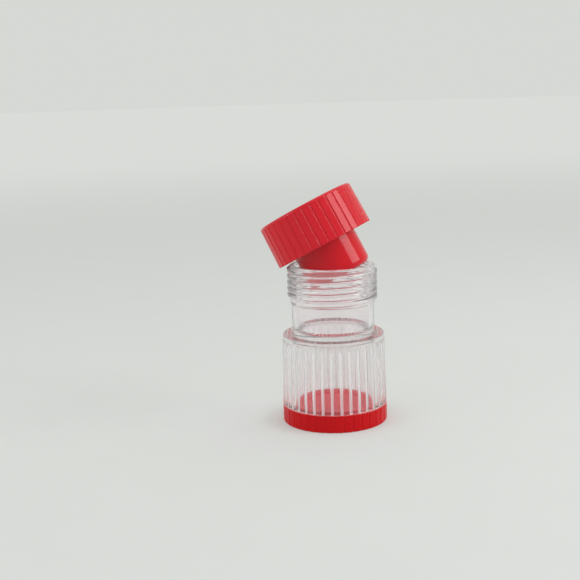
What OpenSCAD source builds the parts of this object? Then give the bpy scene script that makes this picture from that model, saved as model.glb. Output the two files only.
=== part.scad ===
// Pill crusher: ridged screw cap with a plunger, crushing cup with a threaded neck,
// ribbed housing with a pill store inside, and a screwed base lid with a seal plug.
// Units are mm. Z is up, the base lid stands on Z = 0, and its centre is the origin.
// The cap leans on the mouth of the cup with its plunger inside, as it is put down when open.

/* [Base lid] */
// Outer diameter of the base lid
lid_d = 42.5; // [38:0.5:46]
// Height of the base lid, up to the seam
lid_h = 6.9; // [6:0.1:9]
// Thickness of the lid's floor
lid_floor = 1.6; // [1.2:0.1:2.4]
// Radius rounding the lid's bottom edge
lid_edge_r = 0.6; // [0.2:0.1:1.2]
// Depth of the grip grooves on the lid
lid_groove_depth = 0.25; // [0.1:0.05:0.5]

/* [Housing] */
// Outer diameter of the housing at its bottom
body_d_bottom = 42.5; // [38:0.5:46]
// Outer diameter of the housing at the top of its panels
body_d_top = 41.5; // [37:0.1:45]
// Height of the shoulder above the table
shoulder_z = 36.2; // [30:0.1:44]
// Bore of the pill store inside the housing
store_d = 32.4; // [28:0.1:33]
// Height of the plain band above the panels
plain_band = 2.2; // [1:0.1:4]
// How far the plain band lies inside the panels
band_depth = 0.2; // [0.1:0.05:0.4]
// Distance from the grooves' top ends to the plain band
groove_stop = 1.1; // [0.5:0.1:3]
// Length over which each groove runs out at its top end
groove_tip = 0.6; // [0.3:0.1:2]
// Width of the housing's half-round grooves
body_groove_w = 1.2; // [0.8:0.1:1.3]

/* [Crushing cup] */
// Outer diameter of the plain part of the neck
neck_d = 33.2; // [30:0.1:36]
// Height of the neck above the shoulder
neck_h = 28.2; // [22:0.1:34]
// Bore of the cup at its mouth
cup_d = 29.8; // [27:0.1:30.4]
// Height of the cup's floor above the shoulder
cup_floor = 1.3; // [0.5:0.1:3]
// Number of small crushing teeth round the floor
tooth_count = 60; // [36:6:72]

/* [Threads] */
// Pitch of the cap thread and of the lid thread
pitch = 2.5; // [2:0.1:3]
// Root diameter of the neck's thread
neck_root_d = 34.4; // [34:0.1:36]
// Crest diameter of the neck's thread
neck_crest_d = 36.3; // [36:0.1:38]
// Turns of thread on the neck
neck_turns = 5.2; // [3:0.1:6]

/* [Cap] */
// Outer diameter of the cap at its rim
cap_d = 41.2; // [38:0.1:46]
// Outer diameter of the cap at its top
cap_d_top = 40.4; // [37:0.1:45]
// Height of the cap
cap_h = 17.6; // [14:0.1:22]
// Radius rounding the cap's top edge
cap_edge_r = 1.3; // [0.5:0.1:3]
// Number of grip grooves round the cap, the housing and the lid
groove_count = 36; // [24:2:48]
// Depth of the cap's grooves
cap_groove_depth = 0.35; // [0.2:0.05:0.6]
// Width of the cap's grooves
cap_groove_w = 1; // [0.6:0.1:1.4]

/* [Plunger] */
// Outer diameter of the plunger
plunger_d = 26.6; // [20:0.1:27]
// Length of the plunger below the cap's rim
plunger_out = 13.9; // [8:0.1:16]
// Radius rounding the plunger's lower edge
plunger_edge_r = 2.5; // [1:0.1:4]

/* [Cap position] */
// Lean of the open cap to the left, in degrees
lean_left = 27; // [0:0.5:40]
// Lean of the open cap to the back, in degrees
lean_back = 7.5; // [0:0.5:20]

/* [Hidden] */
$fn = 96;
// Centre of the cap's rim where it lies
cap_at = [-2.55, 1, 72.1];
seam_gap = 0.1;
run_fit = 0.08;
body_z = lid_h + seam_gap;
neck_z = shoulder_z + neck_h;
floor_z = shoulder_z + cup_floor;
store_r = store_d / 2;
neck_r = neck_d / 2;
cup_r = cup_d / 2;
// Spigot under the housing, which screws into the lid
spigot_z = 2;
spigot_r = 17.5;
spigot_crest = 18.4;
skirt_r = 18.8;
skirt_crest = 17.9;
// Ring in the lid that carries the seal plug
boss_r = 16;
boss_in = 14.6;
boss_top = 5;
// Seal plug
seal_r = store_r - run_fit;
seal_top = 7.75;
seal_floor = 7;
seal_foot_z = 5.05;
// Ledge for the cup in the top of the housing
seat_z = 34;
seat_r = neck_r + 0.05;
// Inside of the cap
cap_bore_r = 18.7;
cap_crest = 17.75;
cap_inside = 15.8;
plunger_r = plunger_d / 2;
plunger_bore = 11.75;
plunger_top = cap_inside - 0.05;
groove_step = 360 / groove_count;
// Angle of one groove on the lid, the housing and the cap
lid_groove_at = -0.6;
body_groove_at = 7.2;
cap_groove_at = 0;

// Radius and outward offset of a round-bottomed groove of given depth and width
function groove_r(depth, width) = (width * width / 4 + depth * depth) / (2 * depth);
function groove_out(depth, width) = groove_r(depth, width) - depth;

// Cross-section of a thread ridge at one end-to-end position, fading out at both ends
function ridge_fade(i, n, fade) = min(1, (min(i, n - i) + 0.8) / fade);
function ridge_point(a, r, z) = [r * cos(a), r * sin(a), z];
function ridge_ring(a, r0, r1, z, w0, w1, top) = [
    ridge_point(a, r0, z - w0 / 2),
    ridge_point(a, r1, z - w1 / 2),
    ridge_point(a, r1, min(z + w1 / 2, top)),
    ridge_point(a, r0, min(z + w0 / 2, top))
];

// Right-handed thread ridge from r0, hidden in the wall, to the crest r1, nowhere above top
module ridge(r0, r1, z, start, turns, w0, w1, per_turn, top = 100) {
    n = ceil(turns * per_turn);
    fade = per_turn / 8;
    pts = [for (i = [0 : n]) each ridge_ring(
        start + 360 * turns * i / n,
        r0,
        r0 + (r1 - r0) * ridge_fade(i, n, fade),
        z + pitch * turns * i / n,
        w0,
        w1,
        top
    )];
    side = [for (i = [0 : n - 1]) for (k = [0 : 3])
        [4 * i + k, 4 * i + (k + 1) % 4, 4 * i + 4 + (k + 1) % 4, 4 * i + 4 + k]];
    first = r1 > r0 ? [3, 2, 1, 0] : [0, 1, 2, 3];
    last = r1 > r0
        ? [4 * n, 4 * n + 1, 4 * n + 2, 4 * n + 3]
        : [4 * n + 3, 4 * n + 2, 4 * n + 1, 4 * n];
    tris = [for (q = side) each [[q[0], q[1], q[2]], [q[0], q[2], q[3]]]];
    turned = [for (t = tris) [t[2], t[1], t[0]]];
    ends = [
        [first[0], first[1], first[2]],
        [first[0], first[2], first[3]],
        [last[0], last[1], last[2]],
        [last[0], last[2], last[3]]
    ];
    polyhedron(points = pts, faces = concat(r1 > r0 ? tris : turned, ends), convexity = 8);
}

// Round-bottomed grooves cut down a slightly tapered wall, one of them at the angle given
module grooves(r_low, r_high, z_low, z_high, depth, width, at) {
    rise = z_high - z_low;
    draft = atan((r_low - r_high) / rise);
    r = groove_r(depth, width);
    out = groove_out(depth, width);
    for (i = [0 : groove_count - 1]) {
        rotate([0, 0, at + i * groove_step])
            translate([r_low + out, 0, z_low])
                rotate([0, -draft, 0])
                    cylinder(r = r, h = rise, $fn = 20);
    }
}

// Half-round grooves cut down a tapered wall, running out to a point at their top ends
module long_grooves(r_low, r_high, z_low, z_high, tip, width, at) {
    draft = atan((r_low - r_high) / (z_high - z_low));
    rise = z_high - z_low - tip;
    for (i = [0 : groove_count - 1]) {
        rotate([0, 0, at + i * groove_step])
            translate([r_low, 0, z_low])
                rotate([0, -draft, 0]) {
                    cylinder(r = width / 2, h = rise, $fn = 20);
                    translate([0, 0, rise])
                        cylinder(r1 = width / 2, r2 = 0.05, h = tip, $fn = 20);
                }
    }
}

// Red base lid: floor, outer skirt with the female thread, and the ring under the seal
module base_lid_profile() {
    e = lid_edge_r;
    r = lid_d / 2;
    difference() {
        union() {
            square([r - e, lid_h]);
            translate([0, e])
                square([r, lid_h - e]);
            translate([r - e, e])
                circle(r = e, $fn = 32);
        }
        translate([-1, lid_floor])
            square([1 + boss_in, lid_h]);
        translate([0, boss_top])
            square([boss_r + 1, lid_h]);
        translate([boss_r, lid_floor])
            square([skirt_r - boss_r, lid_h]);
        translate([-30, -1])
            square([30, 20]);
    }
}

module base_lid() {
    color([0.78, 0.10, 0.13])
        union() {
            difference() {
                rotate_extrude($fn = 108)
                    base_lid_profile();
                grooves(lid_d / 2, lid_d / 2, -1, lid_h + 1, lid_groove_depth, 1, lid_groove_at);
            }
            ridge(skirt_r + 0.15, skirt_crest, 2.6, -50.4, 1.25, 1.9, 0.6, 36);
        }
}

// Seal plug: shallow dish that closes the store, located in the lid's ring by its foot
module lid_seal_profile() {
    polygon([
        [0, seal_foot_z],
        [0, seal_floor],
        [seal_r - 4, seal_floor],
        [seal_r - 3.7, seal_floor + 0.3],
        [seal_r - 0.7, seal_top],
        [seal_r - 0.3, seal_top],
        [seal_r, seal_top - 0.3],
        [seal_r, seal_foot_z],
        [boss_in - 0.15, seal_foot_z],
        [boss_in - 0.15, 3.7],
        [boss_in - 0.35, 3.5],
        [boss_in - 1.4, 3.5],
        [boss_in - 1.4, seal_foot_z]
    ]);
}

module lid_seal() {
    color([0.72, 0.09, 0.12])
        rotate_extrude($fn = 108)
            lid_seal_profile();
}

// Clear housing: thick ribbed wall round the pill store, with the threaded spigot below
module housing_profile() {
    e = 0.3;
    r = body_d_top / 2 - band_depth;
    band_z = shoulder_z - plain_band;
    difference() {
        union() {
            polygon([
                [store_r, body_z],
                [body_d_bottom / 2, body_z],
                [body_d_top / 2, band_z],
                [r, band_z + band_depth],
                [r, shoulder_z - e],
                [r - e, shoulder_z],
                [store_r, shoulder_z]
            ]);
            translate([r - e, shoulder_z - e])
                circle(r = e, $fn = 32);
            polygon([
                [store_r, spigot_z],
                [spigot_r - 0.4, spigot_z],
                [spigot_r, spigot_z + 0.4],
                [spigot_r, body_z + 1],
                [store_r, body_z + 1]
            ]);
        }
        translate([0, seat_z])
            square([seat_r, 10]);
    }
}

module housing() {
    color([0.86, 0.88, 0.90, 0.35])
        union() {
            difference() {
                rotate_extrude($fn = 108)
                    housing_profile();
                long_grooves(
                    body_d_bottom / 2,
                    body_d_top / 2,
                    body_z - 0.5,
                    shoulder_z - plain_band - groove_stop,
                    groove_tip,
                    body_groove_w,
                    body_groove_at
                );
                grooves(
                    body_d_bottom / 2,
                    body_d_top / 2,
                    body_z - 0.5,
                    shoulder_z - plain_band + band_depth,
                    0.15,
                    body_groove_w,
                    body_groove_at
                );
            }
            ridge(spigot_r - 0.15, spigot_crest, 2.95, 180, 1.25, 1.9, 0.6, 36);
        }
}

// Clear crushing cup: neck, bore and floor, with a short skirt that seats in the housing
module cup_profile() {
    r = neck_root_d / 2;
    lip = 0.8;
    step_z = 49.2;
    difference() {
        union() {
            translate([0, seat_z])
                square([neck_r, step_z - seat_z + 1]);
            polygon([
                [0, step_z],
                [neck_r, step_z - 0.5],
                [r, step_z + 0.2],
                [r, neck_z - lip],
                [r - lip, neck_z],
                [0, neck_z]
            ]);
            translate([r - lip, neck_z - lip])
                circle(r = lip, $fn = 32);
        }
        polygon([
            [-1, floor_z],
            [cup_r - 1.9, floor_z],
            [cup_r - 0.4, floor_z + 1.5],
            [cup_r, neck_z - 0.6],
            [cup_r + 0.6, neck_z],
            [cup_r + 0.6, neck_z + 1],
            [-1, neck_z + 1]
        ]);
        translate([-1, seat_z - 1])
            square([1 + neck_r - 1.6, floor_z - 1.8 - seat_z + 1]);
        translate([-30, 0])
            square([30, 100]);
    }
}

module cup() {
    color([0.88, 0.90, 0.93, 0.35])
        union() {
            difference() {
                rotate_extrude($fn = 96)
                    cup_profile();
                for (i = [0 : tooth_count - 1]) {
                    rotate([0, 0, i * 360 / tooth_count])
                        translate([cup_r - 3.2, -0.3, floor_z + 0.1])
                            rotate([0, -38, 0])
                                translate([0, 0, -0.4])
                                    cube([3, 0.6, 1]);
                }
            }
            ridge(
                neck_root_d / 2 - 0.2,
                neck_crest_d / 2,
                neck_z - 0.85 - pitch * neck_turns,
                234,
                neck_turns,
                2.4,
                1,
                36,
                neck_z - 0.45
            );
        }
}

// Puts a piece of the cap, drawn upright with its rim at Z = 0, where the open cap lies
module at_cap() {
    translate(cap_at)
        rotate([-lean_back, -lean_left, 0])
            children();
}

// Red plunger: hollow, with a closed rounded end
module plunger_profile() {
    e = plunger_edge_r;
    difference() {
        union() {
            translate([0, -plunger_out])
                square([plunger_r - e, e]);
            translate([0, e - plunger_out])
                square([plunger_r, plunger_top + plunger_out - e]);
            translate([plunger_r - e, e - plunger_out])
                circle(r = e, $fn = 48);
        }
        translate([-1, 2 - plunger_out])
            square([1 + plunger_bore, 40]);
        translate([-30, -30])
            square([30, 80]);
    }
}

module plunger() {
    color([0.74, 0.09, 0.12])
        at_cap()
            rotate_extrude($fn = 96)
                plunger_profile();
}

// Red cap shell: ridged wall, flat top, female thread and the peg ring inside the plunger
module cap_profile() {
    e = cap_edge_r;
    r = cap_d_top / 2;
    difference() {
        union() {
            polygon([
                [0, 0],
                [cap_d / 2, 0],
                [r, cap_h - e],
                [r - e, cap_h],
                [0, cap_h]
            ]);
            translate([r - e, cap_h - e])
                circle(r = e, $fn = 48);
        }
        translate([-1, -1])
            square([1 + cap_bore_r, 1 + cap_inside]);
        translate([-30, -1])
            square([30, 40]);
    }
    translate([plunger_bore - run_fit - 1.4, cap_inside - 3.5])
        square([1.4, 3.6]);
}

module cap_shell() {
    color([0.80, 0.11, 0.15])
        at_cap()
            union() {
                difference() {
                    rotate_extrude($fn = 108)
                        cap_profile();
                    grooves(
                        cap_d / 2,
                        cap_d_top / 2,
                        -0.5,
                        cap_h - 1.1,
                        cap_groove_depth,
                        cap_groove_w,
                        cap_groove_at
                    );
                }
                ridge(cap_bore_r + 0.15, cap_crest, 1.9, 40, 2, 1.6, 0.6, 36);
            }
}

base_lid();
lid_seal();
housing();
cup();
plunger();
cap_shell();
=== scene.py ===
import math

import bpy
from mathutils import Euler, Matrix, Vector


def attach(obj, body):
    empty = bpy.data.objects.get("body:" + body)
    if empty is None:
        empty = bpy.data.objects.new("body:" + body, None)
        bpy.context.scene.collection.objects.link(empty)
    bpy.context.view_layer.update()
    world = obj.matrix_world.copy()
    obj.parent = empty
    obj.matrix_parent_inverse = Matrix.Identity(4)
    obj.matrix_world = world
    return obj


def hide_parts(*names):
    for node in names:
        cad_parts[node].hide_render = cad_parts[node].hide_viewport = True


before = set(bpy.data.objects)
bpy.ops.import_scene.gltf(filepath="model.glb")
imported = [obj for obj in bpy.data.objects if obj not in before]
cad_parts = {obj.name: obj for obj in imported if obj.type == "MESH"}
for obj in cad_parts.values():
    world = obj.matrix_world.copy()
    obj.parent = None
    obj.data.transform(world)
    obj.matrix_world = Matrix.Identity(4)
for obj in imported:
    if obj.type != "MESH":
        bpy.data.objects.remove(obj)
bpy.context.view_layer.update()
MM = 0.001  # profiles are drawn in millimetres, and meshes are in metres

# ---------------------------------------------------------------- camera
# Metres, degrees, and the focal length in pixels of a frame 580 wide
CAM_DIST, CAM_HEIGHT = 0.436, 0.13754
CAM_PITCH, CAM_YAW, CAM_ROLL = 10.837, 2.242, 1.809
FOCAL_PX, FRAME_PX, SENSOR = 1098.7, 580.0, 36.0

camera_data = bpy.data.cameras.new("camera")
camera_data.sensor_width = SENSOR
camera_data.lens = FOCAL_PX / FRAME_PX * SENSOR
camera_data.clip_start = 0.01
camera = bpy.data.objects.new("camera", camera_data)
bpy.context.scene.collection.objects.link(camera)
camera.matrix_world = (
    Matrix.Translation((0, -CAM_DIST, CAM_HEIGHT))
    @ Matrix.Rotation(math.radians(CAM_YAW), 4, "Z")
    @ Matrix.Rotation(math.radians(90 - CAM_PITCH), 4, "X")
    @ Matrix.Rotation(math.radians(-CAM_ROLL), 4, "Z")
)
bpy.context.scene.camera = camera
bpy.context.scene.view_settings.view_transform = "Standard"

# ---------------------------------------------------------------- dimensions, mm
GROOVES = 36
STEP = 2 * math.pi / GROOVES
PITCH = 2.5
# Angle of the first groove of the lid, the housing and the cap
LID_AT, BODY_AT, CAP_GROOVE_AT = math.radians(-0.6), math.radians(7.2), 0.0
# Base lid: outer radius, rim, floor, the ring that holds the seal, the threaded bore and grooves
LID_R, RIM_Z, LID_FLOOR = 21.25, 7.02, 1.6
LID_RING_R0, LID_RING_R1, LID_RING_Z = 14.6, 16.0, 5.0
LID_BORE_R = 18.8
LID_GROOVE_W, LID_GROOVE_DEPTH, LID_FLAT = 1.0, 0.25, 0.6
LID_RIDGE_Z, LID_RIDGE_AT = 2.6, -50.4
# Seal plug: underside, dished floor, top, outer radius and the skirt that sits in the lid's ring
SEAL_UNDER, SEAL_FLOOR, SEAL_TOP, SEAL_R = 5.05, 7.0, 7.75, 16.12
SEAL_SKIRT_R0, SEAL_SKIRT_R1, SEAL_SKIRT_Z = 13.2, 14.45, 3.5
# Housing: outer radii below and above, foot, shoulder, plain band, bore of the store and spigot
BODY_R0, BODY_R1, BODY_Z, SHOULDER_Z = 21.25, 20.75, 7.0, 36.2
BAND_Z, BAND_DEPTH = 34.0, 0.2
GROOVE_W, GROOVE_END, GROOVE_TIP, TIP_CUT, BODY_FLAT = 1.2, 32.9, 0.6, 0.15, 0.5
STORE_R = 16.2
SPIGOT_R, SPIGOT_Z, SPIGOT_RIDGE_Z, SPIGOT_RIDGE_AT = 17.5, 2.0, 2.95, 180
# The ridges of the lid's thread: turns, width at the base and at the crest, height
LID_TURNS, LID_RIDGE_W, LID_CREST_W, LID_RIDGE_H = 1.25, 1.9, 0.6, 0.9
# Cup: neck radius, mouth, thread root and crest, bore, floor, seat in the housing, walls, teeth
NECK_R, NECK_Z, ROOT_R, CREST_R = 16.6, 64.4, 17.2, 18.15
THREAD_FOOT_Z, NECK_TURNS, NECK_START, MOUTH_GAP = 49.4, 5.2, 234, 0.85
NECK_RIDGE_W, NECK_CREST_W = 2.4, 1.0
CUP_R, FLOOR_Z, SEAT_Z, CUP_WALL, CUP_FLOOR = 14.9, 37.5, 34.0, 1.6, 1.8
TEETH, TOOTH_H = 60, 0.45
# Cap: outer radii at the rim and the top, height, inner top, bore and grooves
CAP_R0, CAP_R1, CAP_H, CAP_IN, CAP_BORE_R = 20.56, 20.16, 17.56, 15.8, 18.7
CAP_GROOVE_W, CAP_GROOVE_DEPTH, CAP_GROOVE_GAP, CAP_GROOVE_TIP, CAP_FLAT = 1.0, 0.35, 1.0, 0.8, 0.7
# The ridge of the cap's thread: start, angle, turns, width at the base and at the crest, height
CAP_RIDGE_Z, CAP_RIDGE_AT, CAP_TURNS, CAP_RIDGE_W, CAP_CREST_W, CAP_RIDGE_H = 1.9, 40, 2, 1.6, 0.6, 0.95
# Plunger: radius, bore, how far it stands out of the cap, its floor, and the ring that holds it
PLUNGER_R, PLUNGER_BORE, PLUNGER_OUT, PLUNGER_FLOOR = 13.3, 11.75, 13.9, 2
PEG_R, PEG_WALL, PEG_H = PLUNGER_BORE - 0.08, 1.4, 3.5
# Where the open cap leans: the middle of its rim, and its tilt to the back and to the left
CAP_AT = Vector((-2.55, 1.0, 72.1))
CAP_TILT = Euler((math.radians(-7.5), math.radians(-27), 0), "XYZ")
AT_CAP = Matrix.Translation(CAP_AT) @ CAP_TILT.to_matrix().to_4x4()


# ---------------------------------------------------------------- mesh tools
SIDE_GAP = 0.12


def rounded(points, steps=5):
    """A profile of (r, z, corner radius) with each corner drawn as an arc.

    A point just before and after each arc keeps the sides flat under smooth shading.
    """
    out = []
    n = len(points)
    for i, (r, z, rad) in enumerate(points):
        p = Vector((r, z))
        if rad <= 0:
            out.append(p)
            continue
        a = Vector(points[i - 1][:2]) - p
        b = Vector(points[(i + 1) % n][:2]) - p
        len_a, len_b = a.length, b.length
        a.normalize()
        b.normalize()
        half = math.acos(max(-1, min(1, a.dot(b)))) / 2
        cut = min(rad / math.tan(half), len_a * 0.49, len_b * 0.49)
        rad = cut * math.tan(half)
        centre = p + (a + b).normalized() * (rad / math.sin(half))
        start = p + a * cut - centre
        turn = (math.pi - 2 * half) * (1 if start.cross(p + b * cut - centre) > 0 else -1)
        out.append(centre + start + a * min(SIDE_GAP, len_a * 0.2))
        for k in range(steps + 1):
            out.append(centre + Matrix.Rotation(turn * k / steps, 2) @ start)
        out.append(p + b * cut + b * min(SIDE_GAP, len_b * 0.2))
    return out


def split(points, longest):
    """The profile with every side longer than longest cut into equal lengths."""
    out = []
    for a, b in zip(points, points[1:]):
        n = max(1, math.ceil((b - a).length / longest))
        out += [a.lerp(b, k / n) for k in range(n)]
    return out + [points[-1]]


def even(count):
    """Angles evenly spaced round a full turn."""
    return [2 * math.pi * k / count for k in range(count)]


def ribbed(width, radius, first_groove):
    """Angles round a ribbed wall: close together in each groove, wide apart on the panels."""
    half = width / 2 / radius
    inside = [-1.25, -1.08, -0.98, -0.82, -0.55, -0.25, 0, 0.25, 0.55, 0.82, 0.98, 1.08, 1.25]
    panel = [0.25, 0.5, 0.75]
    out = []
    for i in range(GROOVES):
        middle = i * STEP + first_groove
        out += [middle + half * s for s in inside]
        first, last = middle + half * 1.25, middle + STEP - half * 1.25
        out += [first + (last - first) * s for s in panel]
    return out


def groove_cut(angle, radius, depth, width):
    """How far a round-bottomed groove lies below the wall, this angle away from one."""
    s = ((angle / STEP + 0.5) % 1 - 0.5) * STEP * radius
    rho = (width * width / 4 + depth * depth) / (2 * depth)
    if abs(s) >= rho:
        return 0.0
    return max(0.0, math.sqrt(rho * rho - s * s) - (rho - depth))


def flat_cut(angle, radius, share):
    """How far the slightly flattened panel lies inside the round wall."""
    a = ((angle / STEP) % 1 - 0.5) * STEP
    return share * radius * (1 - math.cos(STEP / 2) / math.cos(a))


def ridge_height(angle, z, start_z, start, turns, base, crest, fade=0.12):
    """0 to 1: how far a right-handed thread ridge stands out.

    p is the place along the ridge in turns, and t the distance from the ridge's middle line.
    """
    turn = (angle - math.radians(start)) / (2 * math.pi)
    turn -= math.floor(turn)
    best = 0.0
    k = math.floor((z - start_z) / PITCH - turn)
    for j in (k - 1, k, k + 1, k + 2):
        p = turn + j
        if p < -fade or p > turns + fade:
            continue
        t = abs(z - start_z - PITCH * p)
        h = max(0.0, min(1.0, (base / 2 - t) / (base / 2 - crest / 2)))
        h = h * h * (3 - 2 * h)
        e = max(0.0, min(1.0, min(p + fade, turns + fade - p) / (2 * fade)))
        best = max(best, h * e * e * (3 - 2 * e))
    return best


def lathe(name, profile, angles, body, cad_node, shape=None, place=None):
    """A closed solid turned round Z that stands for a CAD node.

    The profile ends on the axis or closes on itself, shape moves its points, place sets it down.
    """
    closed = profile[0].x > 1e-6
    verts, rows = [], []
    for p in profile:
        if p.x < 1e-6:
            rows.append([len(verts)] * len(angles))
            verts.append((0.0, 0.0, p.y))
            continue
        row = []
        for a in angles:
            r, z = shape(a, p.x, p.y) if shape else (p.x, p.y)
            row.append(len(verts))
            verts.append((r * math.cos(a), r * math.sin(a), z))
        rows.append(row)
    faces = []
    count = len(rows) if closed else len(rows) - 1
    for i in range(count):
        low, high = rows[i], rows[(i + 1) % len(rows)]
        for k in range(len(angles)):
            n = (k + 1) % len(angles)
            quad = [low[k], low[n], high[n], high[k]]
            face = [v for j, v in enumerate(quad) if v != quad[j - 1]]
            if len(face) > 2:
                faces.append(face)
    place = place or Matrix.Identity(4)
    verts = [(place @ Vector(v)) * MM for v in verts]
    mesh = bpy.data.meshes.new(name)
    mesh.from_pydata(verts, [], faces)
    mesh.validate()
    mesh.shade_smooth()
    ob = bpy.data.objects.new(name, mesh)
    bpy.context.scene.collection.objects.link(ob)
    if signed_volume(mesh) < 0:
        mesh.flip_normals()
    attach(ob, body)
    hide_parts(cad_node)
    return ob


def signed_volume(mesh):
    """Six times the enclosed volume, negative where the faces look inwards."""
    total = 0.0
    for f in mesh.polygons:
        v = [mesh.vertices[i].co for i in f.vertices]
        for k in range(1, len(v) - 1):
            total += v[0].dot(v[k].cross(v[k + 1]))
    return total


# ---------------------------------------------------------------- materials
def new_material(name):
    m = bpy.data.materials.new(name)
    m.use_nodes = True
    nt = m.node_tree
    nt.nodes.clear()
    return m, nt


def node(nt, kind, **values):
    n = nt.nodes.new(kind)
    for key, value in values.items():
        if key in n.inputs:
            n.inputs[key].default_value = value
        else:
            setattr(n, key, value)
    return n


def red_plastic(name, dark, light, rough, shine):
    """Moulded gloss plastic: slow colour drift, a fine skin and faint rub marks."""
    m, nt = new_material(name)
    coords = node(nt, "ShaderNodeTexCoord")
    drift = node(nt, "ShaderNodeTexNoise", Scale=70.0, Detail=3.0, Roughness=0.55)
    skin = node(nt, "ShaderNodeTexNoise", Scale=900.0, Detail=4.0, Roughness=0.6)
    rub = node(nt, "ShaderNodeTexNoise", Scale=260.0, Detail=6.0, Roughness=0.7)
    for n in (drift, skin, rub):
        nt.links.new(coords.outputs["Object"], n.inputs["Vector"])
    mix = node(nt, "ShaderNodeMix", data_type="RGBA")
    mix.inputs["A"].default_value = (*dark, 1)
    mix.inputs["B"].default_value = (*light, 1)
    nt.links.new(drift.outputs["Fac"], mix.inputs["Factor"])
    rough_map = node(nt, "ShaderNodeMapRange")
    rough_map.inputs["From Min"].default_value = 0.3
    rough_map.inputs["From Max"].default_value = 0.7
    rough_map.inputs["To Min"].default_value = rough - 0.04
    rough_map.inputs["To Max"].default_value = rough + 0.07
    nt.links.new(rub.outputs["Fac"], rough_map.inputs["Value"])
    bump = node(nt, "ShaderNodeBump", Strength=0.35, Distance=0.000012)
    nt.links.new(skin.outputs["Fac"], bump.inputs["Height"])
    bsdf = node(nt, "ShaderNodeBsdfPrincipled")
    bsdf.inputs["IOR"].default_value = 1.5
    bsdf.inputs["Specular IOR Level"].default_value = shine
    nt.links.new(mix.outputs["Result"], bsdf.inputs["Base Color"])
    nt.links.new(rough_map.outputs["Result"], bsdf.inputs["Roughness"])
    nt.links.new(bump.outputs["Normal"], bsdf.inputs["Normal"])
    out = node(nt, "ShaderNodeOutputMaterial")
    nt.links.new(bsdf.outputs["BSDF"], out.inputs["Surface"])
    return m


def clear_plastic(name, tint_and_red_bounce, rough, clarity, frosted):
    """Clear moulded plastic: a slightly uneven skin, faint haze, and less clear where frosted."""
    m, nt = new_material(name)
    coords = node(nt, "ShaderNodeTexCoord")
    haze = node(nt, "ShaderNodeTexNoise", Scale=180.0, Detail=5.0, Roughness=0.65)
    skin = node(nt, "ShaderNodeTexNoise", Scale=240.0, Detail=2.0, Roughness=0.5)
    for n in (haze, skin):
        nt.links.new(coords.outputs["Object"], n.inputs["Vector"])
    rough_map = node(nt, "ShaderNodeMapRange")
    rough_map.inputs["From Min"].default_value = 0.35
    rough_map.inputs["From Max"].default_value = 0.75
    rough_map.inputs["To Min"].default_value = rough
    rough_map.inputs["To Max"].default_value = rough + 0.05
    nt.links.new(haze.outputs["Fac"], rough_map.inputs["Value"])
    bump = node(nt, "ShaderNodeBump", Strength=0.12, Distance=0.00001)
    nt.links.new(skin.outputs["Fac"], bump.inputs["Height"])
    bsdf = node(nt, "ShaderNodeBsdfPrincipled")
    # Base colour: the plastic's own faint grey, plus a pink cast that is painted red bounce light from
    # the red parts
    bsdf.inputs["Base Color"].default_value = (*tint_and_red_bounce, 1)
    bsdf.inputs["IOR"].default_value = 1.49
    frost_map = node(nt, "ShaderNodeAttribute", attribute_name="frost")
    passed = node(nt, "ShaderNodeMapRange")
    passed.inputs["To Min"].default_value = clarity
    passed.inputs["To Max"].default_value = clarity - frosted
    nt.links.new(frost_map.outputs["Fac"], passed.inputs["Value"])
    nt.links.new(passed.outputs["Result"], bsdf.inputs["Transmission Weight"])
    nt.links.new(rough_map.outputs["Result"], bsdf.inputs["Roughness"])
    nt.links.new(bump.outputs["Normal"], bsdf.inputs["Normal"])
    clear = node(nt, "ShaderNodeBsdfTransparent")
    clear.inputs["Color"].default_value = (0.93, 0.93, 0.94, 1)
    path = node(nt, "ShaderNodeLightPath")
    mix = node(nt, "ShaderNodeMixShader")
    nt.links.new(path.outputs["Is Shadow Ray"], mix.inputs[0])
    nt.links.new(bsdf.outputs["BSDF"], mix.inputs[1])
    nt.links.new(clear.outputs["BSDF"], mix.inputs[2])
    out = node(nt, "ShaderNodeOutputMaterial")
    nt.links.new(mix.outputs["Shader"], out.inputs["Surface"])
    return m


RED_CAP = red_plastic("red_cap", (0.60, 0.006, 0.015), (0.68, 0.009, 0.021), 0.2, 0.34)
RED_PLUNGER = red_plastic("red_plunger", (0.60, 0.005, 0.013), (0.68, 0.008, 0.018), 0.12, 0.28)
RED_LID = red_plastic("red_lid", (0.52, 0.003, 0.006), (0.60, 0.005, 0.009), 0.3, 0.14)
RED_SEAL = red_plastic("red_seal", (0.54, 0.006, 0.020), (0.62, 0.010, 0.030), 0.45, 0.2)
# The pink in these clear tints is painted red bounce light from the red parts, on top of the plastic's
# own faint grey
CLEAR_BODY = clear_plastic("clear_body", (0.945, 0.935, 0.938), 0.045, 0.975, 0.45)
CLEAR_CUP = clear_plastic("clear_cup", (0.972, 0.945, 0.955), 0.02, 0.965, 0.1)


def frost(ob, share):
    """Store how frosted each point of a clear piece is, from its angle, radius and height."""
    layer = ob.data.attributes.new("frost", "FLOAT", "POINT")
    for v, item in zip(ob.data.vertices, layer.data):
        x, y, z = v.co / MM
        item.value = share(math.atan2(y, x), math.hypot(x, y), z)


def paint(ob, material):
    ob.data.materials.clear()
    ob.data.materials.append(material)


# ---------------------------------------------------------------- base lid
lid_profile = rounded([
    (0, LID_FLOOR, 0),
    (LID_RING_R0, LID_FLOOR, 0.3),
    (LID_RING_R0, LID_RING_Z, 0.25),
    (LID_RING_R1, LID_RING_Z, 0.25),
    (LID_RING_R1, LID_FLOOR, 0.3),
    (LID_BORE_R, LID_FLOOR, 0.3),
    (LID_BORE_R, RIM_Z, 0.1),
    (LID_R, RIM_Z, 0.15),
    (LID_R, 0, 0.6),
    (0, 0, 0),
])
lid_profile = split(lid_profile, 0.6)


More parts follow.
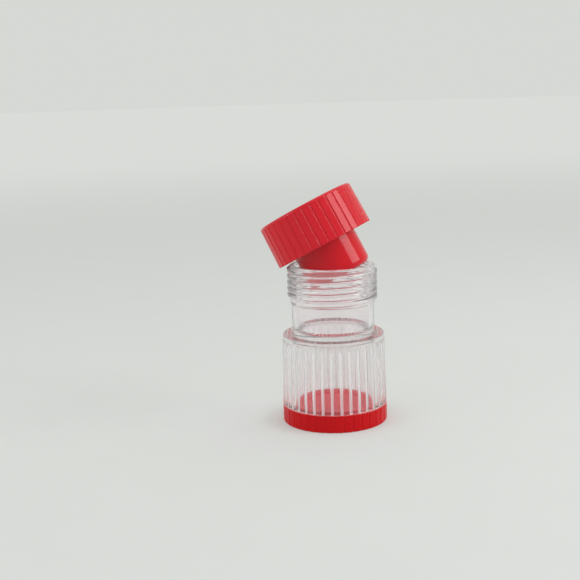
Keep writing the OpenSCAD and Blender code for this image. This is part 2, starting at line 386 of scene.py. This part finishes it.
def lid_shape(a, r, z):
    """Grooves outside, and one thread ridge on the bore."""
    if r > LID_R - 0.85:
        turned = a - LID_AT
        cut = groove_cut(turned, LID_R, LID_GROOVE_DEPTH, LID_GROOVE_W)
        return r - cut - flat_cut(turned, LID_R, LID_FLAT), z
    if abs(r - LID_BORE_R) < 0.1 and 1.9 < z < 6.6:
        ridge = ridge_height(a, z, LID_RIDGE_Z, LID_RIDGE_AT, LID_TURNS, LID_RIDGE_W, LID_CREST_W)
        return r - LID_RIDGE_H * ridge, z
    return r, z


base_lid = lathe(
    "base_lid_shell", lid_profile, ribbed(LID_GROOVE_W, LID_R, LID_AT), "base", "base_lid", lid_shape
)
paint(base_lid, RED_LID)

# ---------------------------------------------------------------- seal plug
seal_profile = rounded([
    (0, SEAL_FLOOR, 0),
    (SEAL_R - 4, SEAL_FLOOR, 0.15),
    (SEAL_R - 3.7, SEAL_FLOOR + 0.3, 0.15),
    (SEAL_R - 0.7, SEAL_TOP, 0.3),
    (SEAL_R - 0.15, SEAL_TOP, 0.3),
    (SEAL_R, SEAL_UNDER, 0.2),
    (SEAL_SKIRT_R1, SEAL_UNDER, 0.1),
    (SEAL_SKIRT_R1, SEAL_SKIRT_Z, 0.2),
    (SEAL_SKIRT_R0, SEAL_SKIRT_Z, 0.2),
    (SEAL_SKIRT_R0, SEAL_UNDER, 0.1),
    (0, SEAL_UNDER, 0),
])
seal = lathe("seal_plug", split(seal_profile, 1.5), even(216), "seal", "lid_seal")
paint(seal, RED_SEAL)

# ---------------------------------------------------------------- housing
WALL_R = 19.9  # every point of the housing's ribbed wall lies outside this radius
WALL_FOOT = BODY_Z - 0.1  # and above this height


def wall_rows(a, b):
    """Heights of the ribbed wall's rows, close together at the grooves' and the panels' tops."""
    rows = [7.4, 8, 9, 11, 14, 17, 20, 23, 26, 29, 31, 31.8, 32.1]
    rows += [GROOVE_END - GROOVE_TIP + 0.075 * k for k in range(9)] + [33.1, 33.4, 33.7, 33.9]
    rows += [BAND_Z - 0.04 + 0.04 * k for k in range(8)] + [34.4, 34.8, 35.3]
    return [0.0] + [(z - a.y) / (b.y - a.y) for z in rows]


def band_split(a, b):
    """One side of the housing's profile, cut as finely as its detail needs."""
    if min(a.x, b.x) > WALL_R and b.y - a.y > 20:
        cuts = wall_rows(a, b)
    else:
        threaded = abs(a.x - SPIGOT_R) < 0.01 and abs(b.x - SPIGOT_R) < 0.01
        n = max(1, math.ceil((b - a).length / (0.3 if threaded else 1.6)))
        cuts = [k / n for k in range(n)]
    return [a.lerp(b, t) for t in cuts]


housing_profile = rounded([
    (STORE_R, SPIGOT_Z, 0.25),
    (SPIGOT_R, SPIGOT_Z, 0.35),
    (SPIGOT_R, BODY_Z, 0.1),
    (BODY_R0, BODY_Z, 0.12),
    (BODY_R1, SHOULDER_Z, 0.3),
    (NECK_R + 0.05, SHOULDER_Z, 0.15),
    (NECK_R + 0.05, SEAT_Z, 0.05),
    (STORE_R, SEAT_Z, 0.05),
])
housing_sides = zip(housing_profile, housing_profile[1:] + housing_profile[:1])
housing_profile = [p for a, b in housing_sides for p in band_split(a, b)]


def groove_share(a, z):
    """1 in the bottom of a housing groove, 0 on the panels."""
    end = max(0.0, min(1.0, (GROOVE_END - z) / GROOVE_TIP))
    end = math.sqrt(1 - (1 - end) ** 2)
    depth = GROOVE_W / 2
    return max(0.0, groove_cut(a - BODY_AT, BODY_R0, depth, GROOVE_W) - depth * (1 - end)) / depth


def housing_shape(a, r, z):
    """Grooves and flattened panels up to the plain band, and one thread ridge on the spigot."""
    if r > WALL_R and z > WALL_FOOT:
        panel = max(0.0, min(1.0, (BAND_Z + BAND_DEPTH - z) / BAND_DEPTH))
        cut = max(
            GROOVE_W / 2 * groove_share(a, z),
            panel * groove_cut(a - BODY_AT, BODY_R0, TIP_CUT, GROOVE_W),
            BAND_DEPTH * (1 - panel),
        )
        return r - cut - panel * flat_cut(a - BODY_AT, BODY_R0, BODY_FLAT), z
    if abs(r - SPIGOT_R) < 0.1 and z < WALL_FOOT:
        ridge = ridge_height(
            a, z, SPIGOT_RIDGE_Z, SPIGOT_RIDGE_AT, LID_TURNS, LID_RIDGE_W, LID_CREST_W
        )
        return r + LID_RIDGE_H * ridge, z
    return r, z


def housing_frost(a, r, z):
    """The grooves are frosted, and their edges fade out."""
    on_wall = r > 19.6 and z > WALL_FOOT
    return min(1.0, 1.6 * groove_share(a, z)) if on_wall else 0.0


housing_angles = ribbed(GROOVE_W, BODY_R0, BODY_AT)
housing = lathe(
    "housing_wall", housing_profile, housing_angles, "container", "housing", housing_shape
)
frost(housing, housing_frost)
paint(housing, CLEAR_BODY)

# ---------------------------------------------------------------- crushing cup
cup_profile = rounded([
    (0, FLOOR_Z, 0),
    (CUP_R - 1.9, FLOOR_Z, 0.4),
    (CUP_R - 0.4, FLOOR_Z + 1.5, 0.5),
    (CUP_R, NECK_Z, 0.7),
    (ROOT_R, NECK_Z, 0.8),
    (ROOT_R, THREAD_FOOT_Z, 0.3),
    (NECK_R, THREAD_FOOT_Z - 0.7, 0.3),
    (NECK_R, SEAT_Z, 0.3),
    (NECK_R - CUP_WALL, SEAT_Z, 0.3),
    (NECK_R - CUP_WALL, FLOOR_Z - CUP_FLOOR, 0.4),
    (0, FLOOR_Z - CUP_FLOOR, 0),
])


def fine_thread(points, radius):
    """The profile cut into 1 mm steps, and into 0.1 mm steps along the thread's root."""
    out = []
    for a, b in zip(points, points[1:]):
        inside = abs(a.x - radius) < 0.01 and abs(b.x - radius) < 0.01
        n = max(1, math.ceil((b - a).length / (0.1 if inside else 1.0)))
        out += [a.lerp(b, k / n) for k in range(n)]
    return out + [points[-1]]


cup_profile = fine_thread(cup_profile, ROOT_R)


def cup_shape(a, r, z):
    """Small teeth round the floor's edge, and the thread's ridge on the neck."""
    if CUP_R - 2.1 < r < CUP_R - 0.3 and FLOOR_Z - 0.1 < z < FLOOR_Z + 1.6:
        tooth = 0.5 - 0.5 * math.cos(a * TEETH)
        way = max(0.0, 1 - abs(z - FLOOR_Z - 0.75) / 0.85)
        return r, z - TOOTH_H * tooth * way
    if r > ROOT_R - 0.3 and z > THREAD_FOOT_Z - 0.1:
        start_z = NECK_Z - MOUTH_GAP - PITCH * NECK_TURNS
        ridge = ridge_height(a, z, start_z, NECK_START, NECK_TURNS, NECK_RIDGE_W, NECK_CREST_W)
        return max(r, ROOT_R + (CREST_R - ROOT_R) * ridge), z
    return r, z


cup = lathe("crushing_cup", cup_profile, even(352), "container", "cup", cup_shape)
frost(cup, lambda a, r, z: 1.0 if r > ROOT_R - 0.1 and z > THREAD_FOOT_Z + 0.2 else 0.0)
paint(cup, CLEAR_CUP)

# ---------------------------------------------------------------- plunger
plunger_profile = rounded([
    (0, -PLUNGER_OUT, 0),
    (PLUNGER_R, -PLUNGER_OUT, 2.5),
    (PLUNGER_R, CAP_IN - 0.05, 0.3),
    (PLUNGER_BORE, CAP_IN - 0.05, 0.3),
    (PLUNGER_BORE, PLUNGER_FLOOR - PLUNGER_OUT, 1.2),
    (0, PLUNGER_FLOOR - PLUNGER_OUT, 0),
], 10)
plunger_profile = split(plunger_profile, 1.5)
plunger = lathe("plunger_tube", plunger_profile, even(216), "press", "plunger", place=AT_CAP)
paint(plunger, RED_PLUNGER)

# ---------------------------------------------------------------- cap shell
cap_profile = rounded([
    (0, CAP_IN, 0),
    (PEG_R - PEG_WALL, CAP_IN, 0.3),
    (PEG_R - PEG_WALL, CAP_IN - PEG_H, 0.3),
    (PEG_R, CAP_IN - PEG_H, 0.3),
    (PEG_R, CAP_IN, 0.3),
    (CAP_BORE_R, CAP_IN, 0.6),
    (CAP_BORE_R, 0, 0.25),
    (CAP_R0, 0, 0.25),
    (CAP_R1, CAP_H, 1.3),
    (0, CAP_H, 0),
], 7)
cap_profile = split(cap_profile, 0.8)


def cap_shape(a, r, z):
    """Grooves outside that end in a round tip below the top, and one thread ridge in the bore."""
    if r > CAP_BORE_R + 0.15:
        end = max(0.0, min(1.0, (CAP_H - CAP_GROOVE_GAP - z) / CAP_GROOVE_TIP))
        end = math.sqrt(max(0.0, 1 - (1 - end) ** 2))
        turned = a - CAP_GROOVE_AT
        cut = groove_cut(turned, CAP_R0, CAP_GROOVE_DEPTH, CAP_GROOVE_W)
        return r - end * (cut + flat_cut(turned, CAP_R0, CAP_FLAT)), z
    if abs(r - CAP_BORE_R) < 0.1 and 0.6 < z < 9:
        ridge = ridge_height(a, z, CAP_RIDGE_Z, CAP_RIDGE_AT, CAP_TURNS, CAP_RIDGE_W, CAP_CREST_W)
        return r - CAP_RIDGE_H * ridge, z
    return r, z


cap_angles = ribbed(CAP_GROOVE_W, CAP_R0, CAP_GROOVE_AT)
cap = lathe("cap_shell_ribbed", cap_profile, cap_angles, "cap", "cap_shell", cap_shape, AT_CAP)
paint(cap, RED_CAP)

# ---------------------------------------------------------------- floor and light
BACKDROP = (0.67, 0.69, 0.66)
ROOM = (0.61, 0.585, 0.595)


def surroundings(nt, direction):
    """Colour seen in a direction: pale backdrop behind the object, a dimmer room in front."""
    axes = node(nt, "ShaderNodeSeparateXYZ")
    nt.links.new(direction, axes.inputs["Vector"])
    fade = node(nt, "ShaderNodeMapRange", interpolation_type="SMOOTHSTEP")
    fade.inputs["From Min"].default_value = -0.6
    fade.inputs["From Max"].default_value = 0.45
    nt.links.new(axes.outputs["Y"], fade.inputs["Value"])
    mix = node(nt, "ShaderNodeMix", data_type="RGBA")
    mix.inputs["A"].default_value = (*ROOM, 1)
    mix.inputs["B"].default_value = (*BACKDROP, 1)
    nt.links.new(fade.outputs["Result"], mix.inputs["Factor"])
    return mix.outputs["Result"]


def floor_material():
    """Pale paper that glows more with distance, so that it runs into the backdrop almost unseen."""
    m, nt = new_material("paper_floor")
    coords = node(nt, "ShaderNodeTexCoord")
    noise = node(nt, "ShaderNodeTexNoise", Scale=35.0, Detail=4.0)
    nt.links.new(coords.outputs["Object"], noise.inputs["Vector"])
    mix = node(nt, "ShaderNodeMix", data_type="RGBA")
    mix.inputs["A"].default_value = (0.44, 0.45, 0.44, 1)
    mix.inputs["B"].default_value = (0.46, 0.47, 0.46, 1)
    nt.links.new(noise.outputs["Fac"], mix.inputs["Factor"])
    reach = node(nt, "ShaderNodeVectorMath", operation="LENGTH")
    nt.links.new(coords.outputs["Object"], reach.inputs[0])
    far = node(nt, "ShaderNodeMapRange", interpolation_type="SMOOTHSTEP")
    far.inputs["From Min"].default_value = 0.1
    far.inputs["From Max"].default_value = 1.6
    nt.links.new(reach.outputs["Value"], far.inputs["Value"])
    glow = node(nt, "ShaderNodeMapRange")
    glow.inputs["To Min"].default_value = 0.35
    glow.inputs["To Max"].default_value = 1.0
    nt.links.new(far.outputs["Result"], glow.inputs["Value"])
    fade = node(nt, "ShaderNodeMix", data_type="RGBA")
    fade.inputs["B"].default_value = (0.01, 0.01, 0.01, 1)
    nt.links.new(far.outputs["Result"], fade.inputs["Factor"])
    nt.links.new(mix.outputs["Result"], fade.inputs["A"])
    bsdf = node(nt, "ShaderNodeBsdfPrincipled", Roughness=0.9)
    bsdf.inputs["Specular IOR Level"].default_value = 0.05
    heading = node(nt, "ShaderNodeVectorMath", operation="NORMALIZE")
    nt.links.new(coords.outputs["Object"], heading.inputs[0])
    tone = node(nt, "ShaderNodeMix", data_type="RGBA")
    tone.inputs["A"].default_value = (*BACKDROP, 1)
    nt.links.new(far.outputs["Result"], tone.inputs["Factor"])
    nt.links.new(surroundings(nt, heading.outputs["Vector"]), tone.inputs["B"])
    nt.links.new(tone.outputs["Result"], bsdf.inputs["Emission Color"])
    nt.links.new(glow.outputs["Result"], bsdf.inputs["Emission Strength"])
    nt.links.new(fade.outputs["Result"], bsdf.inputs["Base Color"])
    out = node(nt, "ShaderNodeOutputMaterial")
    nt.links.new(bsdf.outputs["BSDF"], out.inputs["Surface"])
    return m


def studio_world():
    w = bpy.data.worlds.new("studio")
    w.use_nodes = True
    nt = w.node_tree
    nt.nodes.clear()
    coords = node(nt, "ShaderNodeTexCoord")
    sky = node(nt, "ShaderNodeBackground")
    nt.links.new(surroundings(nt, coords.outputs["Generated"]), sky.inputs["Color"])
    out = node(nt, "ShaderNodeOutputWorld")
    nt.links.new(sky.outputs["Background"], out.inputs["Surface"])
    return w


def disc(name, radius, count=96):
    mesh = bpy.data.meshes.new(name)
    ring = [(radius * math.cos(a), radius * math.sin(a), 0) for a in even(count)]
    mesh.from_pydata(ring, [], [list(range(count))])
    ob = bpy.data.objects.new(name, mesh)
    bpy.context.scene.collection.objects.link(ob)
    return ob


floor = disc("floor", 6.0)
floor.location.z = -0.00002
floor.data.materials.append(floor_material())

bpy.context.scene.world = studio_world()


def area(name, at, look, size, power):
    """A white softbox at one place that looks at another."""
    data = bpy.data.lights.new(name, "AREA")
    data.shape = "RECTANGLE"
    data.size, data.size_y = size
    data.energy = power
    ob = bpy.data.objects.new(name, data)
    bpy.context.scene.collection.objects.link(ob)
    ob.location = at
    ob.rotation_euler = (Vector(look) - Vector(at)).to_track_quat("-Z", "Y").to_euler()


area("key_softbox", (0.602, -0.161, 0.388), (0, 0, 0.07), (0.42, 0.4), 2.3)
area("fill_softbox", (-0.66, -0.36, 0.36), (0, 0, 0.07), (0.5, 0.34), 1.3)
area("top_softbox", (0.0, 0.1, 0.8), (0, 0, 0.05), (0.6, 0.6), 0.9)
